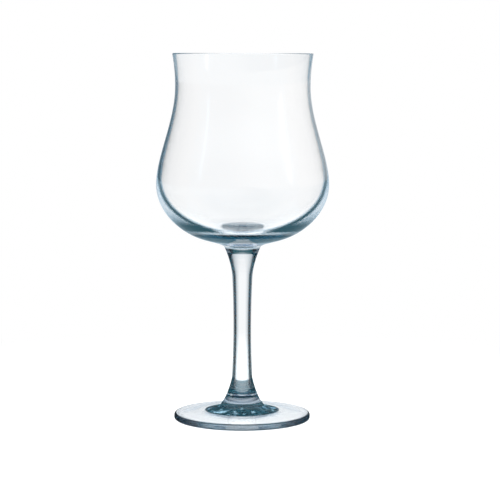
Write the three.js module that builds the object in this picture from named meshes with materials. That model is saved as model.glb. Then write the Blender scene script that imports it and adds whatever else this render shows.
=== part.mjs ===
// Tulip wine glass: a blown bowl, a pressed stem and a pressed foot, fused end to end.
// Millimetres, +Z up. The origin is on the table, in the middle of the foot.
import * as THREE from 'three';

// Foot: a shallow dish that rests on a flat ring and rises to a boss under the stem
const FOOT_RADIUS = 34.5;
const FOOT_HEIGHT = 8.9; // table to the weld with the stem
const FOOT_EDGE_THICKNESS = 3.2;
const FOOT_EDGE_ROUND = 1.1; // fire-polished corners, top and bottom
const REST_RING_WIDTH = 2.6; // flat ring that touches the table
const FOOT_HOLLOW = 1.9; // rise of the underside at the axis
const FOOT_EDGE_SLOPE = 3.5; // degrees, fall of the top where it reaches the edge
const BOSS_SLOPE = 58; // degrees, fall of the top just under the weld

// Stem: a solid rod, slimmest below the middle, that opens into a cone at each end
const STEM_LENGTH = 78.4; // weld to weld
const FOOT_WELD_RADIUS = 9.8;
const FOOT_CONE_RADIUS = 5.15; // small end of the cone over the foot
const FOOT_CONE_HEIGHT = 12.3; // above the foot's weld
const STEM_WAIST_RADIUS = 4.4;
const STEM_WAIST_HEIGHT = 37.1; // above the foot's weld
const BOWL_CONE_RADIUS = 5.05; // small end of the cone under the bowl
const BOWL_CONE_LENGTH = 14.8; // below the bowl's weld
const BOWL_WELD_RADIUS = 8.9;

// Bowl: a tulip with a round belly, a drawn-in waist, a flared lip and a thick base
const BOWL_HEIGHT = 97.7; // weld to lip
const LIP_RADIUS = 35.3;
const LIP_LEAN = 10; // degrees, outward lean of the wall at the lip
const WAIST_RADIUS = 33.9;
const WAIST_DROP = 16.3; // below the lip
const BELLY_RADIUS = 43.5;
const BELLY_HEIGHT = 32; // above the bowl's weld
const HEEL_RADIUS = 19.3; // where the underside turns down into the neck
const HEEL_HEIGHT = 4.1; // above the bowl's weld
const HEEL_SLOPE = 15.5; // degrees, rise of the underside at the heel
const WALL_LIP = 1;
const WALL_WAIST = 0.9;
const WALL_BELLY = 1.8;
const BASE_THICKNESS = 5.2; // glass between the weld and the bottom of the well
const WELL_BELLY_LIFT = 2.2; // the well is widest this far above the belly, as the wall thickens downward

// Facets round the axis, and steps along each stretch of an outline
const SEGMENTS = 48;
const STEPS = { sweep: 9, bend: 6, corner: 4 };

// Heights of the two welds above the table
const footWeld = FOOT_HEIGHT;
const bowlWeld = footWeld + STEM_LENGTH;

// A station of an outline: radius, height, and the way the outline runs there,
// in degrees up from straight out.
function station(radius, height, heading) {
  return { point: new THREE.Vector2(radius, height), heading: THREE.MathUtils.degToRad(heading) };
}

// A smooth stretch between two stations. It holds each heading for a share, its pull, of the distance.
function stretch(from, to, pullFrom, pullTo, steps) {
  const distance = from.point.distanceTo(to.point);
  const ahead = new THREE.Vector2(Math.cos(from.heading), Math.sin(from.heading));
  const behind = new THREE.Vector2(Math.cos(to.heading), Math.sin(to.heading));
  const leave = from.point.clone().addScaledVector(ahead, pullFrom * distance);
  const arrive = to.point.clone().addScaledVector(behind, -pullTo * distance);
  return new THREE.CubicBezierCurve(from.point, leave, arrive, to.point).getPoints(steps);
}

// A round corner, from one angle to another in degrees.
function round(centreRadius, centreHeight, radius, fromAngle, toAngle, steps) {
  const from = THREE.MathUtils.degToRad(fromAngle);
  const to = THREE.MathUtils.degToRad(toAngle);
  const arc = new THREE.EllipseCurve(centreRadius, centreHeight, radius, radius, from, to, to < from);
  return arc.getPoints(steps);
}

// A point on the axis.
function axis(height) {
  return new THREE.Vector2(0, height);
}

// One solid of revolution. Its outline runs up the outside from the axis and back to the axis.
function turned(name, stretches, material) {
  const outline = stretches.flat().filter((point, i, all) => i === 0 || !point.equals(all[i - 1]));
  const solid = new THREE.LatheGeometry(outline, SEGMENTS).rotateX(Math.PI / 2);
  const mesh = new THREE.Mesh(solid, material);
  mesh.name = name;
  return mesh;
}

// Clear soda-lime glass: colourless in the thin bowl, faintly teal in the solid stem and foot
function glass(colour) {
  return new THREE.MeshStandardMaterial({ color: colour, roughness: 0.03, metalness: 0 });
}

// The foot: a hollow underside, the resting ring, a rounded edge and a dished top.
function footPiece() {
  const cornerRadius = FOOT_RADIUS - FOOT_EDGE_ROUND;
  const hollowRadius = cornerRadius - REST_RING_WIDTH;
  const hollow = [];
  for (let i = 0; i <= STEPS.bend; i += 1) {
    const share = i / STEPS.bend;
    hollow.push(new THREE.Vector2(share * hollowRadius, FOOT_HOLLOW * (1 - share * share)));
  }
  const upperCorner = FOOT_EDGE_THICKNESS - FOOT_EDGE_ROUND;
  const edge = station(cornerRadius, FOOT_EDGE_THICKNESS, 180 - FOOT_EDGE_SLOPE);
  const boss = station(FOOT_WELD_RADIUS, footWeld, 180 - BOSS_SLOPE);
  return turned('foot', [
    hollow,
    round(cornerRadius, FOOT_EDGE_ROUND, FOOT_EDGE_ROUND, -90, 0, STEPS.corner),
    round(cornerRadius, upperCorner, FOOT_EDGE_ROUND, 0, 90, STEPS.corner),
    stretch(edge, boss, 0.9, 0.16, STEPS.sweep),
    [axis(footWeld)],
  ], glass('#cfdee0'));
}

// The stem: from the foot's weld through its waist to the bowl's weld.
function stemPiece() {
  const coneTop = footWeld + FOOT_CONE_HEIGHT;
  const bottom = station(FOOT_WELD_RADIUS, footWeld, 132);
  const coneEnd = station(FOOT_CONE_RADIUS, coneTop, 101);
  const rodStart = station(FOOT_CONE_RADIUS, coneTop, 92.4);
  const waist = station(STEM_WAIST_RADIUS, footWeld + STEM_WAIST_HEIGHT, 90);
  const neck = station(BOWL_CONE_RADIUS, bowlWeld - BOWL_CONE_LENGTH, 87);
  const top = station(BOWL_WELD_RADIUS, bowlWeld, 67);
  return turned('stem', [
    [axis(footWeld)],
    stretch(bottom, coneEnd, 0.17, 0.32, STEPS.bend),
    stretch(rodStart, waist, 0.33, 0.33, STEPS.corner),
    stretch(waist, neck, 0.34, 0.29, STEPS.corner),
    stretch(neck, top, 0.33, 0.3, STEPS.bend),
    [axis(bowlWeld)],
  ], glass('#d4e2e4'));
}

// The bowl: up the outside, round the fire-polished lip and down the inside to the bottom of the well.
function bowlPiece() {
  const lipHeight = bowlWeld + BOWL_HEIGHT;
  const waistHeight = lipHeight - WAIST_DROP;
  const bellyHeight = bowlWeld + BELLY_HEIGHT;
  const lipRound = WALL_LIP / 2;
  const lip = round(LIP_RADIUS - lipRound, lipHeight - lipRound, lipRound, -LIP_LEAN, 180 - LIP_LEAN, STEPS.bend);
  const neck = station(BOWL_WELD_RADIUS, bowlWeld, 70);
  const heel = station(HEEL_RADIUS, bowlWeld + HEEL_HEIGHT, HEEL_SLOPE);
  const belly = station(BELLY_RADIUS, bellyHeight, 90);
  const waist = station(WAIST_RADIUS, waistHeight, 90);
  const lipOutside = station(lip[0].x, lip[0].y, 90 - LIP_LEAN);
  const lipInside = station(lip.at(-1).x, lip.at(-1).y, -90 - LIP_LEAN);
  const wellWaist = station(WAIST_RADIUS - WALL_WAIST, waistHeight, -90);
  const wellBelly = station(BELLY_RADIUS - WALL_BELLY, bellyHeight + WELL_BELLY_LIFT, -90);
  const wellBottom = station(0, bowlWeld + BASE_THICKNESS, 180);
  return turned('bowl', [
    [axis(bowlWeld)],
    stretch(neck, heel, 0.17, 0.44, STEPS.corner),
    stretch(heel, belly, 0.37, 0.35, STEPS.sweep),
    stretch(belly, waist, 0.28, 0.35, STEPS.sweep),
    stretch(waist, lipOutside, 0.33, 0.33, STEPS.corner),
    lip,
    stretch(lipInside, wellWaist, 0.33, 0.33, STEPS.corner),
    stretch(wellWaist, wellBelly, 0.35, 0.28, STEPS.sweep),
    stretch(wellBelly, wellBottom, 0.31, 0.48, STEPS.sweep),
  ], glass('#e8efef'));
}

const wineGlass = new THREE.Group();
wineGlass.add(footPiece(), stemPiece(), bowlPiece());

export default wineGlass;
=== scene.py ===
"""Looks of a tulip wine glass: a blown bowl, a pressed stem and a pressed foot, fused at two welds."""

import math

import bpy
import numpy as np
from bpy.props import FloatProperty, FloatVectorProperty, IntProperty, PointerProperty
from bpy.types import NodeSocket, Operator, Panel, PropertyGroup
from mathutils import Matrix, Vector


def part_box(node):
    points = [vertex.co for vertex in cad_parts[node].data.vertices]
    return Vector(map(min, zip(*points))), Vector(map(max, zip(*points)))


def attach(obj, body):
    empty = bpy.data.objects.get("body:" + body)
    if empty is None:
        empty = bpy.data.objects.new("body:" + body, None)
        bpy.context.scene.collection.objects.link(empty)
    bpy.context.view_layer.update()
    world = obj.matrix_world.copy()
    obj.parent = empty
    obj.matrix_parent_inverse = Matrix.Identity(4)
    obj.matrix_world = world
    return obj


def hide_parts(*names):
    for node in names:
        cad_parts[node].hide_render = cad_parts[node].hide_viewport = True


bl_info = {
    "name": "Tulip wine glass",
    "version": (1, 0, 0),
    "blender": (4, 5, 0),
    "location": "3D View > Sidebar > Wine glass",
    "description": "Builds a fused tulip wine glass around its packed solids, with its studio",
    "category": "Add Mesh",
}

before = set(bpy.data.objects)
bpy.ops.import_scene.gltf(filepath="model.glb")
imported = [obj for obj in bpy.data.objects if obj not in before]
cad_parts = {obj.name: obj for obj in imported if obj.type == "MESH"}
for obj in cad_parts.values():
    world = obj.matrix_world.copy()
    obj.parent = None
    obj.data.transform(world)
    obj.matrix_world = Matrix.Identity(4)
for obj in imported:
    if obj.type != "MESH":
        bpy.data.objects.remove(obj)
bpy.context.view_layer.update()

MM = 0.001
BODY = "root"
WHITE = (1, 1, 1, 1)
BLACK = (0, 0, 0, 1)
foot_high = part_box("foot")[1]
stem_low, stem_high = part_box("stem")
bowl_low, bowl_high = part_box("bowl")

# Ways that an outline runs, as angles from straight outwards
UP = math.pi / 2
DOWN = -math.pi / 2
INWARD = math.pi


def linear(hex_colour):
    """An sRGB hex colour as linear red, green and blue."""
    shares = np.array([int(hex_colour[i:i + 2], 16) for i in (1, 3, 5)]) / 255
    return tuple(np.where(shares <= 0.04045, shares / 12.92, ((shares + 0.055) / 1.055) ** 2.4))


def length(name, description, millimetres):
    """A size that a user may change, in metres, with its default given in millimetres."""
    return FloatProperty(
        name=name, description=description, default=millimetres * MM,
        unit="LENGTH", subtype="DISTANCE", precision=5)


def angle(name, description, degrees):
    """An angle that a user may change, with its default given in degrees."""
    return FloatProperty(
        name=name, description=description, default=math.radians(degrees), unit="ROTATION", subtype="ANGLE")


def colour(name, description, hex_colour):
    """A colour that a user may change, with its default given as an sRGB hex value."""
    return FloatVectorProperty(
        name=name, description=description, default=linear(hex_colour), size=3, min=0, max=1, subtype="COLOR")


def amount(name, description, default):
    """A plain number that a user may change, zero or more."""
    return FloatProperty(name=name, description=description, default=default, min=0)


class FootSizes(PropertyGroup):
    radius: length("Radius", "Outer radius of the foot", foot_high.x / MM)
    height: length("Height", "Table to the weld under the stem", foot_high.z / MM)
    edge: length("Edge thickness", "Thickness of the disc at its edge", 3.2)
    edge_round: length("Edge round", "Radius of the fire-polished corners of the edge", 1.1)
    ring: length("Resting ring", "Width of the flat ring that touches the table", 2.6)
    hollow: length("Hollow", "Rise of the underside at the axis", 1.9)
    edge_slope: angle("Edge slope", "Fall of the top where it reaches the edge", 3.5)
    boss_slope: angle("Boss slope", "Fall of the top just under the weld", 58)


class StemSizes(PropertyGroup):
    foot_weld: length("Foot weld", "Radius of the weld on the foot", stem_high.x / MM)
    bowl_weld: length("Bowl weld", "Radius of the weld under the bowl", 8.9)
    foot_cone: length("Foot cone radius", "Small end of the cone over the foot", 5.15)
    foot_cone_height: length("Foot cone height", "Height of the cone over the foot", 12.3)
    waist: length("Waist radius", "Radius where the stem is slimmest", 4.4)
    waist_height: length("Waist height", "Slimmest place above the foot's weld", 37.1)
    bowl_cone: length("Bowl cone radius", "Small end of the cone under the bowl", 5.05)
    bowl_cone_length: length("Bowl cone length", "Length of the cone under the bowl", 14.8)


class BowlSizes(PropertyGroup):
    lip: length("Lip radius", "Outer radius of the lip", 35.3)
    lip_lean: angle("Lip lean", "Outward lean of the wall at the lip", 10)
    lip_wall: length("Lip wall", "Wall at the lip", 1.0)
    waist: length("Waist radius", "Outer radius of the drawn-in waist", 33.9)
    waist_drop: length("Waist drop", "Waist below the lip", 16.3)
    waist_wall: length("Waist wall", "Wall at the waist", 0.9)
    belly: length("Belly radius", "Outer radius of the belly", bowl_high.x / MM)
    belly_height: length("Belly height", "Belly above the weld", 32)
    belly_wall: length("Belly wall", "Wall at the belly", 1.8)
    well_lift: length("Well lift", "Widest place of the well above the belly", 2.2)
    heel: length("Heel radius", "Where the underside turns down into the neck", 19.3)
    heel_height: length("Heel height", "Heel above the weld", 4.1)
    heel_slope: angle("Heel slope", "Rise of the underside at the heel", 15.5)
    base: length("Base thickness", "Glass between the weld and the bottom of the well", 5.2)


class GlassLooks(PropertyGroup):
    tint: colour("Tint", "Colour that thick glass takes", "#5cb2dc")
    # The half-tones and deepest tones below are painted shade: the dark the glass shows in place of the room
    # it mirrors.
    bowl_half_shade: colour("Bowl haze", "Half-tone of the bowl's dark places", "#008fb8")
    bowl_gloom: colour("Bowl gloom", "Deepest tone of the bowl's dark places", "#1e4a57")
    stem_half_shade: colour("Stem haze", "Half-tone of the stem's dark places", "#41748a")
    stem_gloom: colour("Stem gloom", "Deepest tone of the stem's dark places", "#1f545c")
    foot_half_shade: colour("Foot haze", "Half-tone of the foot's dark places", "#3a5661")
    foot_gloom: colour("Foot gloom", "Deepest tone of the foot's dark places", "#264e58")
    # Glint is a painted highlight: the colour of pale swirls painted into the foot's boss.
    glint: colour("Glint", "Pale swirls in the boss of the foot", "#a9cbd7")
    bowl_soak: amount("Bowl soak", "How strongly the bowl takes the tint, per metre of glass", 2.8)
    stem_soak: amount("Stem soak", "How strongly the stem takes the tint, per metre of glass", 5)
    foot_soak: amount("Foot soak", "How strongly the foot takes the tint, per metre of glass", 6)
    seam_gap: length("Seam gap", "Hairline between two pieces at a weld", 0.02)
    segments: IntProperty(name="Segments", description="Facets round the axis", default=192, min=24, max=512)


class StudioLooks(PropertyGroup):
    overhead: colour("Overhead", "What the white studio fades to overhead", "#c9d6dc")
    mirrored_left: colour("Mirrored left", "What reflections show on the left", "#74899a")
    mirrored_right: colour("Mirrored right", "What reflections show on the right", "#f6faff")
    table_near: colour("Mirrored table", "What reflections show of the table by the glass", "#8299a3")
    table_far: colour("Mirrored far table", "What reflections show of the table further off", "#c3d9e8")
    lamp_size: length("Lamp size", "Side of the square lamp overhead", 1200)
    lamp_height: length("Lamp height", "Lamp above the table", 1400)
    lamp_power: FloatProperty(name="Lamp power", description="Power of the lamp", default=20.5, unit="POWER")
    camera_distance: length("Camera distance", "Camera in front of the axis", 966)
    camera_height: length("Camera height", "Camera above the table", 185)
    camera_pitch: angle("Camera pitch", "How far the view is raised from straight down", 84.154)
    camera_roll: angle("Camera roll", "How far the view leans sideways", -0.17)
    camera_turn: angle("Camera turn", "How far the view turns round the upright", -0.2086)
    lens: FloatProperty(name="Lens", description="Focal length, in millimetres", default=138.4, unit="CAMERA")


class WineGlass(PropertyGroup):
    foot: PointerProperty(type=FootSizes)
    stem: PointerProperty(type=StemSizes)
    bowl: PointerProperty(type=BowlSizes)
    looks: PointerProperty(type=GlassLooks)
    studio: PointerProperty(type=StudioLooks)


def station(radius, height, heading):
    """A place on an outline: a point, and the unit vector of the way the outline runs there."""
    return np.array([radius, height]), np.array([math.cos(heading), math.sin(heading)])


def stretch(start, end, pull_start, pull_end, steps):
    """A cubic Bezier curve between two stations, whose handles are each a share, or pull, of the distance."""
    (p0, way0), (p3, way3) = start, end
    distance = np.linalg.norm(p3 - p0)
    p1 = p0 + way0 * pull_start * distance
    p2 = p3 - way3 * pull_end * distance
    t = np.linspace(0, 1, steps + 1)[:, None]
    return (1 - t) ** 3 * p0 + 3 * (1 - t) ** 2 * t * p1 + 3 * (1 - t) * t ** 2 * p2 + t ** 3 * p3


def corner(radius, height, size, first, last, steps=8):
    """An arc of a circle round (radius, height), from one angle to another."""
    a = np.linspace(first, last, steps + 1)
    return np.stack([radius + size * np.cos(a), height + size * np.sin(a)], axis=1)


def joined(*stretches):
    """One outline from stretches that end where the next one starts."""
    points = np.vstack(stretches)
    moved = np.linalg.norm(np.diff(points, axis=0), axis=1) > 1e-9
    return points[np.concatenate([[True], moved])]


def ramp(value, low, high):
    """Zero up to low, one from high on, and the smooth curve 3 t^2 - 2 t^3 between them."""
    t = np.clip((value - low) / (high - low), 0, 1)
    return t * t * (3 - 2 * t)


def graded(value, stops):
    """Straight lines between stops, each a value and the share there, and level beyond the first and last."""
    places, shares = zip(*stops)
    return np.interp(value, places, shares)


def turned(name, outline, segments, welds, **shares):
    """A surface of revolution: the outline's point (r, z), carried round by an angle a, is
    (r cos a, r sin a, z). The outline starts and ends on the axis, and welds names which of its two end
    discs are fused faces. Each share is a number for each point of the outline, and goes round with it as
    an attribute that the glass reads."""
    a = np.linspace(0, 2 * math.pi, segments, endpoint=False)
    r, z = outline[1:-1, :1], outline[1:-1, 1:]
    rings = np.stack([r * np.cos(a), r * np.sin(a), np.broadcast_to(z, (len(r), segments))], axis=2)
    poles = np.array([[0, 0, outline[0, 1]], [0, 0, outline[-1, 1]]])
    points = np.vstack([rings.reshape(-1, 3), poles])
    here = np.arange(segments)
    after = np.roll(here, -1)
    base = np.arange(len(r) - 1)[:, None] * segments
    quads = np.stack([base + here, base + after, base + segments + after, base + segments + here], axis=2)
    top = (len(r) - 1) * segments
    bottom_fan = np.stack([after, here, np.full(segments, len(points) - 2)], axis=1)
    top_fan = np.stack([top + here, top + after, np.full(segments, len(points) - 1)], axis=1)
    faces = quads.reshape(-1, 4).tolist() + bottom_fan.tolist() + top_fan.tolist()
    mesh = bpy.data.meshes.new(name)
    mesh.from_pydata(points.tolist(), [], faces)
    fused = np.zeros(len(faces), np.float32)
    fused[-2 * segments:-segments] = "bottom" in welds
    fused[-segments:] = "top" in welds
    mesh.attributes.new("fused", "FLOAT", "FACE").data.foreach_set("value", fused)
    for share_name, share in shares.items():
        values = np.concatenate([np.repeat(share[1:-1], segments), share[[0, -1]]])
        attribute = mesh.attributes.new(share_name, "FLOAT", "POINT")
        attribute.data.foreach_set("value", values.astype(np.float32))
    mesh.polygons.foreach_set("use_smooth", fused == 0)
    mesh.validate()
    piece = bpy.data.objects.new(name, mesh)
    bpy.context.scene.collection.objects.link(piece)
    return piece


def settle(piece, node, material):
    """Puts a finished piece in the place of its CAD node, with its glass."""
    piece.data.materials.append(material)
    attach(piece, BODY)
    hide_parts(node)


def add_node(tree, kind, inputs=(), **settings):
    """Adds a node, sets its settings, and sets or links its inputs, given as (socket, value or output)."""
    node = tree.nodes.new(kind)
    for setting, value in settings.items():
        setattr(node, setting, value)
    for socket, value in inputs:
        if isinstance(value, NodeSocket):
            tree.links.new(value, node.inputs[socket])
        else:
            node.inputs[socket].default_value = value
    return node


# Soda-lime glass. Facing is zero where a surface is met head-on and one where it is met edge-on. From inside
# glass of this index, light starts to turn back at a facing of about 0.247.
INDEX = 1.52
BRINK_RISE = (0.232, 0.249)
BRINK_FALL = (0.26, 0.275)
TURN_BACK = (0.245, 0.255)
RUN_ALONG = (0.5, 0.6)

# The attributes that the pieces carry. Edge and pool darken the glass where it is met from outside, brink and
# turn where it is met from inside: this dark is painted shade, in place of the dark room that glass mirrors.
# Fused lets light straight through at the welds, and the painted bright line round the stem's cone does too.
# Relief is the height of the swell in millimetres, the glint share is how far the painted glints show, and
# scuff is the roughness of worn places.
SHARES = ("edge", "pool", "brink", "turn", "fused", "painted_bright_line", "relief", "painted_glint_share", "scuff")

# Patterns: the spots of the painted glints on the foot's boss, and the scuffs in the glass. Real scuffs are
# finer than this and would not show, so they are drawn coarser.
GLINT_SPOT_WIDTH = 3.3 * MM
GLINT_SPOT_BAND = (0.5, 0.7)
SCUFF_WIDTH = 0.4 * MM
SCUFF_BAND = (0.45, 0.6)


def outer_share(tree, facing, shares, passed, slants, beyond):
    """How much painted shade the glass takes where it is met from outside. The slants give it for edge times
    facing plus pool, and where the glass is seen through other glass it counts only beyond times."""
    slant = add_node(
        tree, "ShaderNodeMath", [(0, facing), (1, shares["edge"]), (2, shares["pool"])],
        operation="MULTIPLY_ADD").outputs[0]
    graded_slant = add_node(tree, "ShaderNodeValToRGB", [("Fac", slant)])
    elements = graded_slant.color_ramp.elements
    while len(elements) < len(slants):
        elements.new(0.5)
    for element, (position, share) in zip(elements, slants):
        element.position = position
        element.color = (share, share, share, 1)
    kept = add_node(
        tree, "ShaderNodeMapRange", [("Value", passed), ("To Min", 1), ("To Max", beyond)]).outputs["Result"]
    return add_node(
        tree, "ShaderNodeMath", [(0, graded_slant.outputs["Color"]), (1, kept)],
        operation="MULTIPLY").outputs[0]


def inner_share(tree, facing, shares, guided):
    """How much painted shade the glass takes where it is met from inside: brink close to the angle at which
    light turns back, turn past it, and guided, if that is given, where light runs along the surface."""
    rising = add_node(
        tree, "ShaderNodeMapRange",
        [("Value", facing), ("From Min", BRINK_RISE[0]), ("From Max", BRINK_RISE[1]),
         ("To Max", shares["brink"])]).outputs["Result"]
    near_brink = add_node(
        tree, "ShaderNodeMapRange",
        [("Value", facing), ("From Min", BRINK_FALL[0]), ("From Max", BRINK_FALL[1]),
         ("To Min", rising), ("To Max", 0)]).outputs["Result"]
    along = add_node(
        tree, "ShaderNodeMapRange",
        [("Value", facing), ("From Min", RUN_ALONG[0]), ("From Max", RUN_ALONG[1]),
         ("To Min", shares["turn"]), ("To Max", shares["turn"] if guided is None else guided)]
    ).outputs["Result"]
    turned_back = add_node(
        tree, "ShaderNodeMapRange",
        [("Value", facing), ("From Min", TURN_BACK[0]), ("From Max", TURN_BACK[1]),
         ("To Max", along)]).outputs["Result"]
    return add_node(
        tree, "ShaderNodeMath", [(0, near_brink), (1, turned_back)], operation="MAXIMUM").outputs[0]


def soda_lime(name, looks, half_shade, gloom, soak, swell_width, slants, guided=None, beyond=0):
    """Soda-lime glass: clear, with painted shade in a dark teal where it is seen along its surface, where it
    is thick, and where light turns back inside it, in place of the dark room that glass mirrors. The painted
    shade is see-through: a share of the light goes straight on, and takes the half shade where the share is
    small and the gloom where it is large."""
    material = bpy.data.materials.new(name)
    material.use_nodes = True
    tree = material.node_tree
    tree.nodes.clear()
    facing = add_node(tree, "ShaderNodeLayerWeight", [("Blend", 0.5)]).outputs["Facing"]
    shares = {
        share: add_node(tree, "ShaderNodeAttribute", attribute_name=share).outputs["Fac"] for share in SHARES}
    path = add_node(tree, "ShaderNodeLightPath").outputs
    place = add_node(tree, "ShaderNodeTexCoord").outputs["Object"]
    inside = add_node(tree, "ShaderNodeNewGeometry").outputs["Backfacing"]

    # How much of the light goes straight on
    met = outer_share(tree, facing, shares, path["Transmission Depth"], slants, beyond)
    inner = inner_share(tree, facing, shares, guided)
    first = add_node(
        tree, "ShaderNodeMix", [("Factor", inside), ("A", met), ("B", inner)], data_type="RGBA").outputs[2]
    dark = add_node(
        tree, "ShaderNodeMix", [("Factor", path["Is Reflection Ray"]), ("A", first), ("B", BLACK)],
        data_type="RGBA").outputs[2]
    straight = add_node(
        tree, "ShaderNodeMath", [(0, shares["fused"]), (1, shares["painted_bright_line"])], operation="MAXIMUM").outputs[0]
    through = add_node(
        tree, "ShaderNodeMath", [(0, straight), (1, path["Is Shadow Ray"])], operation="MAXIMUM").outputs[0]
    passing = add_node(tree, "ShaderNodeMath", [(0, through), (1, dark)], operation="MAXIMUM").outputs[0]

    # The colour that this light takes: the painted shade's tones, and pale spots of painted glints
    glint_noise = add_node(
        tree, "ShaderNodeTexNoise",
        [("Vector", place), ("Scale", 1 / GLINT_SPOT_WIDTH), ("Detail", 1)]).outputs["Fac"]
    bright = add_node(
        tree, "ShaderNodeMapRange",
        [("Value", glint_noise), ("From Min", GLINT_SPOT_BAND[0]), ("From Max", GLINT_SPOT_BAND[1]),
         ("To Max", shares["painted_glint_share"])], interpolation_type="SMOOTHSTEP").outputs["Result"]
    # The painted shade's colour, from its half-tone where it is light to its deepest tone where it is dark
    toned = add_node(
        tree, "ShaderNodeMix", [("Factor", dark), ("A", (*half_shade, 1)), ("B", (*gloom, 1))],
        data_type="RGBA").outputs[2]
    glinted = add_node(
        tree, "ShaderNodeMix", [("Factor", bright), ("A", toned), ("B", (*looks.glint, 1))],
        data_type="RGBA").outputs[2]
    veil = add_node(
        tree, "ShaderNodeMix", [("Factor", through), ("A", glinted), ("B", WHITE)],
        data_type="RGBA").outputs[2]

    # The swell that forming leaves, and the scuffs of wear
    swell = add_node(
        tree, "ShaderNodeTexNoise",
        [("Vector", place), ("Scale", 1 / swell_width), ("Detail", 1)]).outputs["Fac"]
    rise = add_node(
        tree, "ShaderNodeMath", [(0, swell), (1, shares["relief"])], operation="MULTIPLY").outputs[0]
    normal = add_node(
        tree, "ShaderNodeBump", [("Strength", 1), ("Distance", MM), ("Height", rise)]).outputs["Normal"]
    grains = add_node(
        tree, "ShaderNodeTexNoise",
        [("Vector", place), ("Scale", 1 / SCUFF_WIDTH), ("Detail", 3)]).outputs["Fac"]
    roughness = add_node(
        tree, "ShaderNodeMapRange",
        [("Value", grains), ("From Min", SCUFF_BAND[0]), ("From Max", SCUFF_BAND[1]),
         ("To Max", shares["scuff"])]).outputs["Result"]

    glass = add_node(
        tree, "ShaderNodeBsdfPrincipled",
        [("Base Color", WHITE), ("Roughness", roughness), ("IOR", INDEX), ("Transmission Weight", 1),
         ("Normal", normal)]).outputs[0]
    clear = add_node(tree, "ShaderNodeBsdfTransparent", [("Color", veil)]).outputs[0]
    surface = add_node(tree, "ShaderNodeMixShader", [(0, passing), (1, glass), (2, clear)]).outputs[0]
    tinted = add_node(
        tree, "ShaderNodeVolumeAbsorption", [("Color", (*looks.tint, 1)), ("Density", soak)]).outputs[0]
    add_node(tree, "ShaderNodeOutputMaterial", [("Surface", surface), ("Volume", tinted)])
    return material


# The bowl and its glass. Heights are over the bowl's weld, and all heights and radii are in millimetres.
BOWL_NECK_WAY = math.radians(70)
LIP_STEPS = 16
BOWL_SWELL = 12 * MM
BOWL_RELIEF = 0.005
# The slants and tables below place painted shade on the bowl: its dark edges, brink, turns, arch and lens.
BOWL_SLANTS = (
    (0.0, 0.015), (0.3, 0.015), (0.5, 0.06), (0.62, 0.13), (0.7, 0.24), (0.76, 0.55), (0.82, 0.92))
WELL_EDGE_BY_HEIGHT = (
    (5.7, 0.92), (6.7, 0.9), (8.2, 0.6), (22.7, 0.75), (37.7, 1), (62.7, 0.98), (80.7, 0.95))
WALL_EDGE_BY_HEIGHT = ((42.7, 0.45), (62.7, 0.55))
BRINK_BY_HEIGHT = ((62.7, 0.98), (84.7, 0.8))
WELL_TURN_BY_RADIUS = (
    (4, 0.97), (5.5, 0), (12, 0), (14.5, 0.96), (24.6, 0.96), (25, 0.6), (26.6, 0.6), (27.4, 1), (31.5, 1),
    (35, 0.5), (38, 0))
UNDERSIDE_TURN_BY_RADIUS = ((12, 0.2), (18, 0))
ARCH_BY_RADIUS = ((24, 0), (26.5, 1), (30, 0.94), (32, 0))
ARCH_POOL = 1.06
ARCH_EDGE = -0.4
LENS_POOL = 0.185
LENS_FADE = (10.3, 12.8)
BRINK_START = (26.5, 29)
LIP_CLEAR = (0.5, 1.5)


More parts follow.
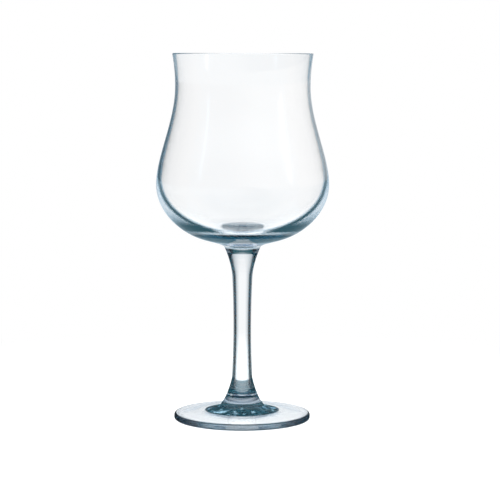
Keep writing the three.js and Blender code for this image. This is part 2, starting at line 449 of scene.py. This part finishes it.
class WINEGLASS_OT_bowl(Operator):
    """Blows the bowl: up the outside, round the lip and down the inside to the bottom of the well"""
    bl_idname = "wine_glass.bowl"
    bl_label = "Blow bowl"

    def execute(self, context):
        glass = context.scene.wine_glass
        looks = glass.looks
        outline = self.outline(glass)
        piece = turned("blown_bowl", outline, looks.segments, {"bottom"}, **self.shares(outline))
        # Blown and fire-polished glass: bright and clear, with long soft waves, and painted shade only along
        # its edges and in its thick base.
        material = soda_lime(
            "blown soda-lime glass", looks, looks.bowl_half_shade, looks.bowl_gloom, looks.bowl_soak, BOWL_SWELL,
            BOWL_SLANTS, beyond=1)
        settle(piece, "bowl", material)
        return {"FINISHED"}

    def outline(self, glass):
        """The bowl's outline in metres, from the axis at the weld to the axis at the bottom of the well."""
        s = glass.bowl
        weld = bowl_low.z + glass.looks.seam_gap / 2
        lip_height = bowl_high.z
        lip_round = s.lip_wall / 2
        lip = corner(
            s.lip - lip_round, lip_height - lip_round, lip_round, -s.lip_lean, INWARD - s.lip_lean, LIP_STEPS)
        neck = station(glass.stem.bowl_weld, weld, BOWL_NECK_WAY)
        heel = station(s.heel, bowl_low.z + s.heel_height, s.heel_slope)
        belly = station(s.belly, bowl_low.z + s.belly_height, UP)
        waist = station(s.waist, lip_height - s.waist_drop, UP)
        lip_outside = station(*lip[0], UP - s.lip_lean)
        lip_inside = station(*lip[-1], DOWN - s.lip_lean)
        well_waist = station(s.waist - s.waist_wall, lip_height - s.waist_drop, DOWN)
        well_belly = station(s.belly - s.belly_wall, bowl_low.z + s.belly_height + s.well_lift, DOWN)
        well_bottom = station(0, bowl_low.z + s.base, INWARD)
        return joined(
            [(0, weld)],
            stretch(neck, heel, 0.17, 0.44, 16),
            stretch(heel, belly, 0.37, 0.35, 32),
            stretch(belly, waist, 0.28, 0.35, 32),
            stretch(waist, lip_outside, 0.33, 0.33, 12),
            lip,
            stretch(lip_inside, well_waist, 0.33, 0.33, 12),
            stretch(well_waist, well_belly, 0.35, 0.28, 32),
            stretch(well_belly, well_bottom, 0.31, 0.48, 40),
        )

    def shares(self, outline):
        """The bowl's attributes, all painted shade: dark edges that end just under the lip, a dark arch on
        the underside, a grey lens at the bottom of the well, and dark in the well's wall where light turns
        back in it."""
        radius = outline[:, 0] / MM
        height = (outline[:, 1] - bowl_low.z) / MM
        below_lip = (bowl_high.z - outline[:, 1]) / MM
        well = np.arange(len(outline)) > height.argmax()
        arch = graded(radius, ARCH_BY_RADIUS) * ~well
        lens = well * (1 - ramp(radius, *LENS_FADE))
        well_edge = graded(height, WELL_EDGE_BY_HEIGHT)
        wall_edge = graded(height, WALL_EDGE_BY_HEIGHT) * (1 - arch) + ARCH_EDGE * arch
        brink = well * ramp(radius, *BRINK_START) * graded(height, BRINK_BY_HEIGHT)
        well_turn = graded(radius, WELL_TURN_BY_RADIUS)
        underside_turn = graded(radius, UNDERSIDE_TURN_BY_RADIUS)
        return {
            "edge": np.where(well, well_edge, wall_edge) * ramp(below_lip, *LIP_CLEAR),
            "pool": ARCH_POOL * arch + LENS_POOL * lens,
            "brink": brink,
            "turn": np.where(well, well_turn, underside_turn),
            "relief": np.full(len(outline), BOWL_RELIEF),
        }


# The stem and its glass. Heights over the foot's weld and drops under the bowl's weld are in millimetres.
STEM_FOOT_WAY = math.radians(132)
STEM_CONE_WAY = math.radians(101)
STEM_ROD_WAY = math.radians(92.4)
STEM_NECK_WAY = math.radians(87)
STEM_BOWL_WAY = math.radians(67)
STEM_SWELL = 3.5 * MM
STEM_RELIEF = 0.008
STEM_SLANTS = (
    (0.06, 0), (0.165, 0.32), (0.215, 0.45), (0.3, 0.9), (0.42, 0.975), (0.52, 0.9), (0.68, 0.7))
# The cone, neck, collar, bright line, dark line, skirt and hem below place painted light and shade on the
# stem.
CONE_FADE = (11.1, 12.1)
CONE_POOL = 0.262
CONE_EDGE_LOSS = 0.85
CONE_TURN = 0.2
NECK_EDGE_FADE = (7.3, 15.3)
NECK_EDGE_LOSS = 0.25
COLLAR_FADE = (2.1, 2.7)
COLLAR_POOL = 0.2
# A band round the cone that lets light straight through as a painted bright line, and the painted dark line
# under it
BRIGHT_LINE_HEIGHT, BRIGHT_LINE_HALF = 4.05, 0.45
LINE_HEIGHT, LINE_HALF, LINE_POOL = 3.3, 0.25, 0.1
SKIRT_HEIGHT, SKIRT_POOL_LOSS = 3.0, 0.07
HEM_HEIGHT, HEM_POOL_LOSS = 1.3, 0.11


class WINEGLASS_OT_stem(Operator):
    """Presses the stem: from the foot's weld through its waist to the bowl's weld"""
    bl_idname = "wine_glass.stem"
    bl_label = "Press stem"

    def execute(self, context):
        glass = context.scene.wine_glass
        looks = glass.looks
        outline = self.outline(glass)
        piece = turned("pressed_stem", outline, looks.segments, {"bottom", "top"}, **self.shares(outline))
        # Glass pressed in a mould: short soft waves that bend the two dark stripes of painted shade down its
        # sides, with a clear middle between them.
        material = soda_lime(
            "pressed soda-lime glass", looks, looks.stem_half_shade, looks.stem_gloom, looks.stem_soak, STEM_SWELL,
            STEM_SLANTS)
        settle(piece, "stem", material)
        return {"FINISHED"}

    def outline(self, glass):
        """The stem's outline in metres, from the axis at the foot's weld to the axis at the bowl's weld."""
        s = glass.stem
        low = stem_low.z + glass.looks.seam_gap / 2
        high = stem_high.z - glass.looks.seam_gap / 2
        cone_top = stem_low.z + s.foot_cone_height
        bottom = station(s.foot_weld, low, STEM_FOOT_WAY)
        cone_end = station(s.foot_cone, cone_top, STEM_CONE_WAY)
        rod_start = station(s.foot_cone, cone_top, STEM_ROD_WAY)
        waist = station(s.waist, stem_low.z + s.waist_height, UP)
        neck = station(s.bowl_cone, stem_high.z - s.bowl_cone_length, STEM_NECK_WAY)
        top = station(s.bowl_weld, high, STEM_BOWL_WAY)
        return joined(
            [(0, low)],
            stretch(bottom, cone_end, 0.17, 0.32, 24),
            stretch(rod_start, waist, 0.33, 0.33, 16),
            stretch(waist, neck, 0.34, 0.29, 16),
            stretch(neck, top, 0.33, 0.3, 24),
            [(0, high)],
        )

    def shares(self, outline):
        """The stem's attributes, painted light and shade: dark sides on the rod, an even dark in the cone
        over the foot with a painted bright line round it and a dark line under that, paler below the line,
        and a dark collar at the top."""
        height = (outline[:, 1] - stem_low.z) / MM
        drop = (stem_high.z - outline[:, 1]) / MM
        cone = 1 - ramp(height, *CONE_FADE)
        neck = 1 - ramp(drop, *NECK_EDGE_FADE)
        collar = 1 - ramp(drop, *COLLAR_FADE)
        line = np.abs(height - LINE_HEIGHT) < LINE_HALF
        paler = SKIRT_POOL_LOSS * (height < SKIRT_HEIGHT) + HEM_POOL_LOSS * (height < HEM_HEIGHT)
        return {
            "edge": 1 - CONE_EDGE_LOSS * cone - NECK_EDGE_LOSS * neck,
            "pool": CONE_POOL * cone + COLLAR_POOL * collar + LINE_POOL * line - paler,
            "turn": CONE_TURN * cone,
            "painted_bright_line": (np.abs(height - BRIGHT_LINE_HEIGHT) < BRIGHT_LINE_HALF).astype(float),
            "relief": np.full(len(outline), STEM_RELIEF),
        }


# The foot and its glass. All radii are in millimetres.
HOLLOW_STEPS = 24
FOOT_SWELL = 4 * MM
FOOT_RELIEF = 0.01
BOSS_RELIEF = 0.03
# The slants, turns, rim and boss below place painted shade on the foot.
FOOT_SLANTS = ((0.1, 0), (0.6, 0.7), (0.7, 0.86), (1, 0.94))
FOOT_GUIDED = 0.03
FOOT_TURN_BY_RADIUS = ((12, 0.75), (17, 0.55), (19, 0.3), (20, 0))
FOOT_LEAST_POOL = 0.15
RIM_START = (33.3, 33.9)
RIM_EDGE = 1.3
RIM_POOL = 0.27
BOSS_BY_RADIUS = ((12.2, 1), (15, 0.97), (18.4, 0.68), (18.7, 0))
BOSS_STEEP_FADE = (12.5, 14.5)
BOSS_EDGE_BY_RADIUS = ((14.5, 2.6), (18.5, 1.4))
# Where the painted glints show on the boss, and how strongly
GLINT_START = (10.5, 11.5)
GLINT_END = (17, 18)
GLINT_SHARE = 0.95
RING_HEIGHT = 0.05 * MM
RING_SCUFF = 0.3


class WINEGLASS_OT_foot(Operator):
    """Presses the foot: a hollow underside, the resting ring, a rounded edge and a dished top"""
    bl_idname = "wine_glass.foot"
    bl_label = "Press foot"

    def execute(self, context):
        glass = context.scene.wine_glass
        looks = glass.looks
        outline = self.outline(glass)
        shares = self.shares(outline, glass.foot.hollow)
        piece = turned("pressed_foot", outline, looks.segments, {"top"}, **shares)
        # Glass pressed in a mould: a clear disc with painted shade at its edge and on its boss, painted
        # glints as pale swirls on the boss, and a resting ring that wear has left dull.
        material = soda_lime(
            "pressed foot glass", looks, looks.foot_half_shade, looks.foot_gloom, looks.foot_soak, FOOT_SWELL,
            FOOT_SLANTS, FOOT_GUIDED)
        settle(piece, "foot", material)
        return {"FINISHED"}

    def outline(self, glass):
        """The foot's outline in metres, from the axis under the hollow to the axis at the weld. The hollow is
        a parabola: its height falls with the square of the radius."""
        s = glass.foot
        corner_radius = s.radius - s.edge_round
        share = np.linspace(0, 1, HOLLOW_STEPS + 1)
        hollow = np.stack([share * (corner_radius - s.ring), s.hollow * (1 - share ** 2)], axis=1)
        high = s.height - glass.looks.seam_gap / 2
        edge = station(corner_radius, s.edge, INWARD - s.edge_slope)
        boss = station(glass.stem.foot_weld, high, INWARD - s.boss_slope)
        return joined(
            hollow,
            corner(corner_radius, s.edge_round, s.edge_round, DOWN, 0),
            corner(corner_radius, s.edge - s.edge_round, s.edge_round, 0, UP),
            stretch(edge, boss, 0.9, 0.16, 40),
            [(0, high)],
        )

    def shares(self, outline, hollow):
        """The foot's attributes: a dark rim, and a boss that is dark all over where it is steep and by its
        slant further out, all painted shade, with painted glints and ripples. The ring that touches the table
        is scuffed."""
        radius = outline[:, 0] / MM
        rim = ramp(radius, *RIM_START)
        boss = graded(radius, BOSS_BY_RADIUS) * (outline[:, 1] > hollow)
        steep = 1 - ramp(radius, *BOSS_STEEP_FADE)
        glints = ramp(radius, *GLINT_START) * (1 - ramp(radius, *GLINT_END))
        return {
            "edge": RIM_EDGE * rim + boss * (1 - steep) * graded(radius, BOSS_EDGE_BY_RADIUS),
            "pool": np.maximum(boss * steep, FOOT_LEAST_POOL) + RIM_POOL * rim,
            "turn": graded(radius, FOOT_TURN_BY_RADIUS),
            "relief": FOOT_RELIEF + BOSS_RELIEF * (boss > 0),
            "painted_glint_share": GLINT_SHARE * glints * (boss > 0),
            "scuff": RING_SCUFF * (outline[:, 1] < RING_HEIGHT),
        }


# The studio. Bearings are in degrees from the camera's side, positive to the right in the picture. The other
# pairs are where a fade starts and ends: as parts of a unit vector for the room, in metres for the table.
LIGHT_TURNS = 64
OVERHEAD_FADE = (math.sin(math.radians(42)), math.sin(math.radians(60)))
SIDE_FADE = (-0.5, 0.5)
BOX_BEARINGS = (-60, 67)
BOX_FADE, BOX_LIGHT = (0.2, 0.05), 0.8
TUBE_FADE, TUBE_LIGHT = (0.06, 0.01), 4
BOX_LOW_END = (0, 0.3)
BOX_HIGH_END = (0.45, 0.65)
BOX_AHEAD = 0.3
TABLE_HALF = 4
TABLE_DROP = 0.1 * MM
CARD = (0.9, 0.9, 0.9, 1)
CARD_FADE = (0.06, 0.3)
MIRRORED_TABLE_FADE = (0.1, 0.6)
SENSOR_WIDTH = 36


def polished(tree):
    """One for light that a polished surface mirrors, and zero for all other light."""
    path = add_node(tree, "ShaderNodeLightPath").outputs
    return add_node(
        tree, "ShaderNodeMath", [(0, path["Is Reflection Ray"]), (1, path["Is Glossy Ray"])],
        operation="MULTIPLY").outputs[0]


class WINEGLASS_OT_stage(Operator):
    """Sets the white studio: background, table, lamp and camera"""
    bl_idname = "wine_glass.stage"
    bl_label = "Set stage"

    def execute(self, context):
        scene = context.scene
        studio = scene.wine_glass.studio
        scene.view_settings.view_transform = "Standard"
        scene.cycles.max_bounces = LIGHT_TURNS
        scene.cycles.transmission_bounces = LIGHT_TURNS
        scene.cycles.glossy_bounces = LIGHT_TURNS
        scene.cycles.transparent_max_bounces = LIGHT_TURNS
        self.background(scene, studio)
        self.table(scene, studio)
        self.lamp(scene, studio)
        self.camera(scene, studio)
        return {"FINISHED"}

    def background(self, scene, studio):
        """The room all round, and two soft boxes in front of the glass that only reflections show."""
        world = bpy.data.worlds.new("white studio")
        scene.world = world
        world.use_nodes = True
        tree = world.node_tree
        tree.nodes.clear()
        way = add_node(tree, "ShaderNodeTexCoord").outputs["Generated"]
        parts = add_node(tree, "ShaderNodeSeparateXYZ", [("Vector", way)]).outputs
        glow = polished(tree)
        room = self.room(tree, parts, glow, studio)
        strength = 1
        for bearing in BOX_BEARINGS:
            box = self.soft_box(tree, way, parts["Z"], math.radians(bearing))
            strength = add_node(
                tree, "ShaderNodeMath", [(0, box), (1, glow), (2, strength)],
                operation="MULTIPLY_ADD").outputs[0]
        back = add_node(tree, "ShaderNodeBackground", [("Color", room), ("Strength", strength)])
        add_node(tree, "ShaderNodeOutputWorld", [("Surface", back.outputs[0])])

    def room(self, tree, parts, glow, studio):
        """The room's colour: white to the camera, and slightly darker overhead to all else. Reflections show
        it darker on the left than on the right."""
        raised = add_node(
            tree, "ShaderNodeMapRange",
            [("Value", parts["Z"]), ("From Min", OVERHEAD_FADE[0]), ("From Max", OVERHEAD_FADE[1])],
            interpolation_type="SMOOTHSTEP").outputs["Result"]
        plain = add_node(
            tree, "ShaderNodeMix", [("Factor", raised), ("A", WHITE), ("B", (*studio.overhead, 1))],
            data_type="RGBA").outputs[2]
        rightward = add_node(
            tree, "ShaderNodeMapRange",
            [("Value", parts["X"]), ("From Min", SIDE_FADE[0]), ("From Max", SIDE_FADE[1])],
            interpolation_type="SMOOTHSTEP").outputs["Result"]
        mirrored = add_node(
            tree, "ShaderNodeMix",
            [("Factor", rightward), ("A", (*studio.mirrored_left, 1)), ("B", (*studio.mirrored_right, 1))],
            data_type="RGBA").outputs[2]
        lighting = add_node(
            tree, "ShaderNodeMix", [("Factor", glow), ("A", plain), ("B", mirrored)],
            data_type="RGBA").outputs[2]
        seen = add_node(tree, "ShaderNodeLightPath").outputs["Is Camera Ray"]
        return add_node(
            tree, "ShaderNodeMix", [("Factor", seen), ("A", lighting), ("B", WHITE)],
            data_type="RGBA").outputs[2]

    def soft_box(self, tree, way, height, bearing):
        """The light of an upright soft box at a bearing: a broad glow with a bright tube down its middle,
        which fades out at its low and high ends."""
        along = add_node(
            tree, "ShaderNodeVectorMath", [(0, way), (1, (math.sin(bearing), -math.cos(bearing), 0))],
            operation="DOT_PRODUCT").outputs["Value"]
        across = add_node(
            tree, "ShaderNodeVectorMath", [(0, way), (1, (math.cos(bearing), math.sin(bearing), 0))],
            operation="DOT_PRODUCT").outputs["Value"]
        off = add_node(tree, "ShaderNodeMath", [(0, across)], operation="ABSOLUTE").outputs[0]
        tube = add_node(
            tree, "ShaderNodeMapRange",
            [("Value", off), ("From Min", TUBE_FADE[0]), ("From Max", TUBE_FADE[1]), ("To Max", TUBE_LIGHT)],
            interpolation_type="SMOOTHSTEP").outputs["Result"]
        glow = add_node(
            tree, "ShaderNodeMapRange",
            [("Value", off), ("From Min", BOX_FADE[0]), ("From Max", BOX_FADE[1]), ("To Max", BOX_LIGHT)],
            interpolation_type="SMOOTHSTEP").outputs["Result"]
        light = add_node(tree, "ShaderNodeMath", [(0, glow), (1, tube)], operation="ADD").outputs[0]
        ahead = add_node(
            tree, "ShaderNodeMath", [(0, along), (1, BOX_AHEAD)], operation="GREATER_THAN").outputs[0]
        under_top = add_node(
            tree, "ShaderNodeMapRange",
            [("Value", height), ("From Min", BOX_HIGH_END[0]), ("From Max", BOX_HIGH_END[1]),
             ("To Min", ahead), ("To Max", 0)], interpolation_type="SMOOTHSTEP").outputs["Result"]
        within = add_node(
            tree, "ShaderNodeMapRange",
            [("Value", height), ("From Min", BOX_LOW_END[0]), ("From Max", BOX_LOW_END[1]),
             ("To Max", under_top)], interpolation_type="SMOOTHSTEP").outputs["Result"]
        return add_node(tree, "ShaderNodeMath", [(0, light), (1, within)], operation="MULTIPLY").outputs[0]

    def table(self, scene, studio):
        """A flat white card under the glass. It takes the soft shadow close to the glass and is plain white
        further off, where it meets the background."""
        half = TABLE_HALF
        places = [(-half, -half, 0), (half, -half, 0), (half, half, 0), (-half, half, 0)]
        mesh = bpy.data.meshes.new("floor")
        mesh.from_pydata(places, [], [(0, 1, 2, 3)])
        mesh.materials.append(self.card(studio))
        floor = bpy.data.objects.new("floor", mesh)
        floor.location.z = -TABLE_DROP
        scene.collection.objects.link(floor)

    def card(self, studio):
        """White card: matt and even to the eye. Reflections show it as a dimmer table."""
        material = bpy.data.materials.new("white card")
        material.use_nodes = True
        tree = material.node_tree
        tree.nodes.clear()
        place = add_node(tree, "ShaderNodeTexCoord").outputs["Object"]
        away = add_node(tree, "ShaderNodeVectorMath", [(0, place)], operation="LENGTH").outputs["Value"]
        glow = polished(tree)
        reach = add_node(
            tree, "ShaderNodeMapRange",
            [("Value", away), ("From Min", MIRRORED_TABLE_FADE[0]), ("From Max", MIRRORED_TABLE_FADE[1])]
        ).outputs["Result"]
        mirrored = add_node(
            tree, "ShaderNodeMix",
            [("Factor", reach), ("A", (*studio.table_near, 1)), ("B", (*studio.table_far, 1))],
            data_type="RGBA").outputs[2]
        level = add_node(
            tree, "ShaderNodeMix", [("Factor", glow), ("A", WHITE), ("B", mirrored)],
            data_type="RGBA").outputs[2]
        far = add_node(
            tree, "ShaderNodeMapRange",
            [("Value", away), ("From Min", CARD_FADE[0]), ("From Max", CARD_FADE[1])],
            interpolation_type="SMOOTHSTEP").outputs["Result"]
        shown = add_node(tree, "ShaderNodeMath", [(0, far), (1, glow)], operation="MAXIMUM").outputs[0]
        lit = add_node(tree, "ShaderNodeBsdfDiffuse", [("Color", CARD)]).outputs[0]
        plain = add_node(tree, "ShaderNodeEmission", [("Color", level), ("Strength", 1)]).outputs[0]
        surface = add_node(tree, "ShaderNodeMixShader", [(0, shown), (1, lit), (2, plain)]).outputs[0]
        add_node(tree, "ShaderNodeOutputMaterial", [("Surface", surface)])
        return material

    def lamp(self, scene, studio):
        """One broad soft lamp overhead, which the glass neither mirrors nor shows."""
        data = bpy.data.lights.new("overhead", "AREA")
        data.size = studio.lamp_size
        data.energy = studio.lamp_power
        lamp = bpy.data.objects.new("overhead", data)
        lamp.location = (0, 0, studio.lamp_height)
        lamp.visible_camera = False
        lamp.visible_glossy = False
        lamp.visible_transmission = False
        scene.collection.objects.link(lamp)

    def camera(self, scene, studio):
        """The photograph's view: a long lens, level with the lip and looking slightly down."""
        data = bpy.data.cameras.new("camera")
        data.lens = studio.lens
        data.sensor_width = SENSOR_WIDTH
        camera = bpy.data.objects.new("camera", data)
        camera.location = (0, -studio.camera_distance, studio.camera_height)
        camera.rotation_euler = (studio.camera_pitch, studio.camera_roll, studio.camera_turn)
        scene.collection.objects.link(camera)
        scene.camera = camera


class WINEGLASS_PT_panel(Panel):
    """Lists the steps that build the glass"""
    bl_idname = "WINEGLASS_PT_panel"
    bl_label = "Wine glass"
    bl_space_type = "VIEW_3D"
    bl_region_type = "UI"
    bl_category = "Wine glass"

    def draw(self, context):
        for step in STEPS:
            self.layout.operator(step.bl_idname)


GROUPS = (FootSizes, StemSizes, BowlSizes, GlassLooks, StudioLooks, WineGlass)
STEPS = (WINEGLASS_OT_foot, WINEGLASS_OT_stem, WINEGLASS_OT_bowl, WINEGLASS_OT_stage)
CLASSES = (*GROUPS, *STEPS, WINEGLASS_PT_panel)


def register():
    for cls in CLASSES:
        bpy.utils.register_class(cls)
    bpy.types.Scene.wine_glass = PointerProperty(type=WineGlass)


def unregister():
    del bpy.types.Scene.wine_glass
    for cls in reversed(CLASSES):
        bpy.utils.unregister_class(cls)


def main():
    """Builds the glass and its studio."""
    register()
    bpy.ops.wine_glass.foot()
    bpy.ops.wine_glass.stem()
    bpy.ops.wine_glass.bowl()
    bpy.ops.wine_glass.stage()


if __name__ == "__main__":
    main()
